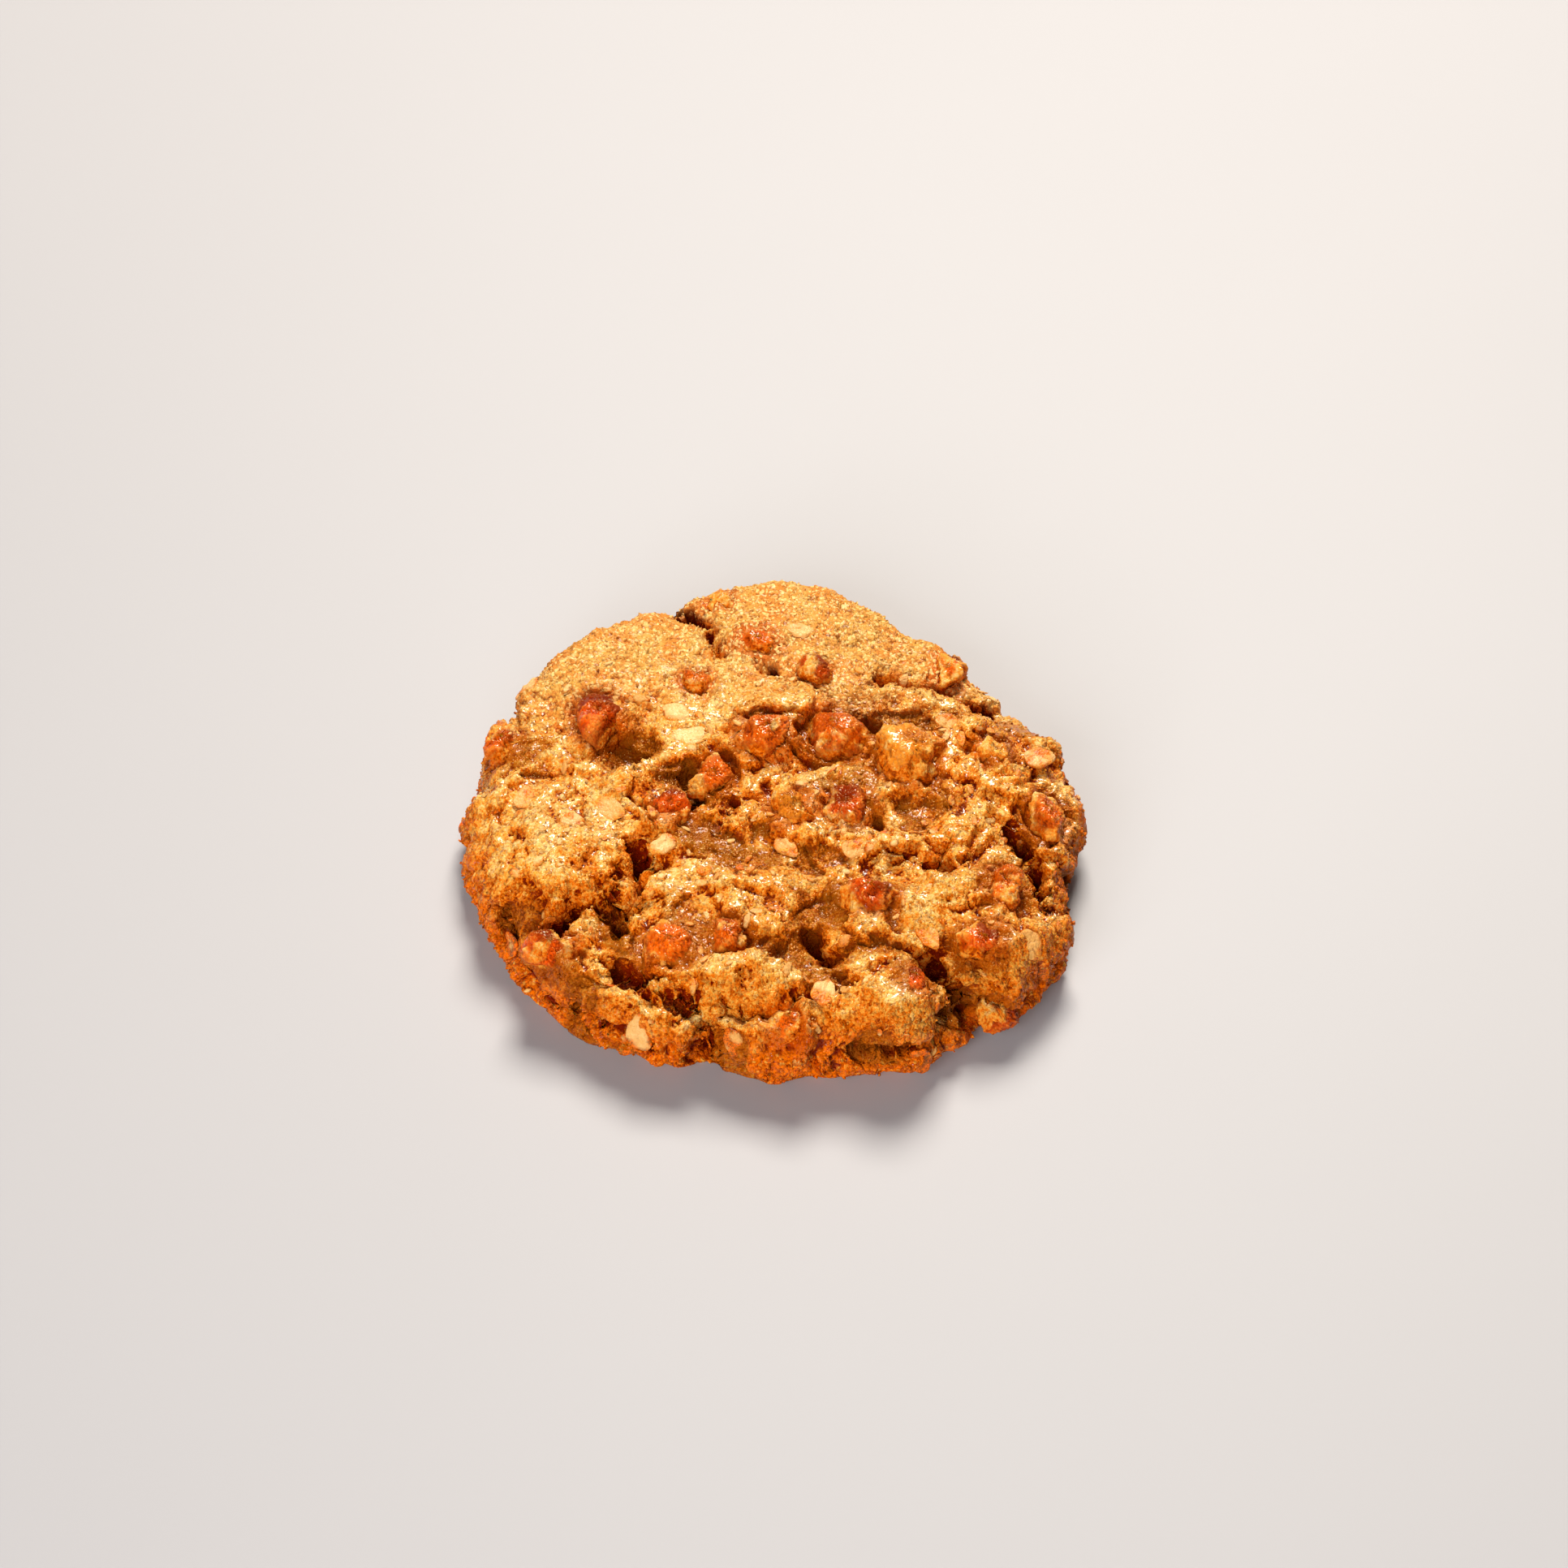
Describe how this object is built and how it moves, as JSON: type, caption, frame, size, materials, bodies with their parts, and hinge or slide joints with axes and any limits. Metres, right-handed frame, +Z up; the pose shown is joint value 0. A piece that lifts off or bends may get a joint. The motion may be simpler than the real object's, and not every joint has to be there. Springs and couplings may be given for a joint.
{
  "type": "apple cookie",
  "caption": "Thick round oat cookie with a craggy browned top and a flat base, with baked apple pieces and oat flakes set into its dough; food that lies on a plate.",
  "frame": {"origin": "middle of the flat base, on the surface that the cookie lies on", "axes": "+Z up, out of the top; +Y to the smooth far crust; -Y to the craggy near side"},
  "size_m": [0.1008, 0.1027, 0.0218],
  "materials": {
    "dough": "baked oat dough, golden brown, granular with syrupy hollows",
    "apple_ruby": "baked apple with dark red peel, glossy",
    "apple_amber": "baked apple flesh, orange, glossy with syrup",
    "apple_toffee": "baked apple coated with dough, brown, satin"
  },
  "bodies": {
    "root": {"dough": "dough", "apple_left": "apple_ruby", "apple_middle": "apple_amber", "apple_middle_right": "apple_amber", "apple_mound": "apple_toffee", "apple_wedge": "apple_amber", "apple_ring": "apple_ruby", "apple_brown": "apple_toffee", "apple_dark": "apple_ruby", "apple_peel": "apple_ruby", "apple_rim_left": "apple_ruby", "apple_near_left": "apple_amber", "apple_near": "apple_amber", "apple_near_right": "apple_ruby", "apple_slab": "apple_ruby", "apple_right_bump": "apple_amber", "apple_right_edge": "apple_amber", "apple_right": "apple_toffee", "apple_under_crust": "apple_amber", "apple_far": "apple_amber", "apple_far_left": "apple_amber", "apple_far_right": "apple_ruby", "apple_far_crust": "apple_toffee", "apple_left_edge": "apple_amber", "apple_wall_near": "apple_amber", "apple_wall_right": "apple_ruby", "apple_wall_far_right": "apple_ruby", "apple_wall_far": "apple_amber", "apple_wall_far_left": "apple_ruby"}
  },
  "joints": []
}
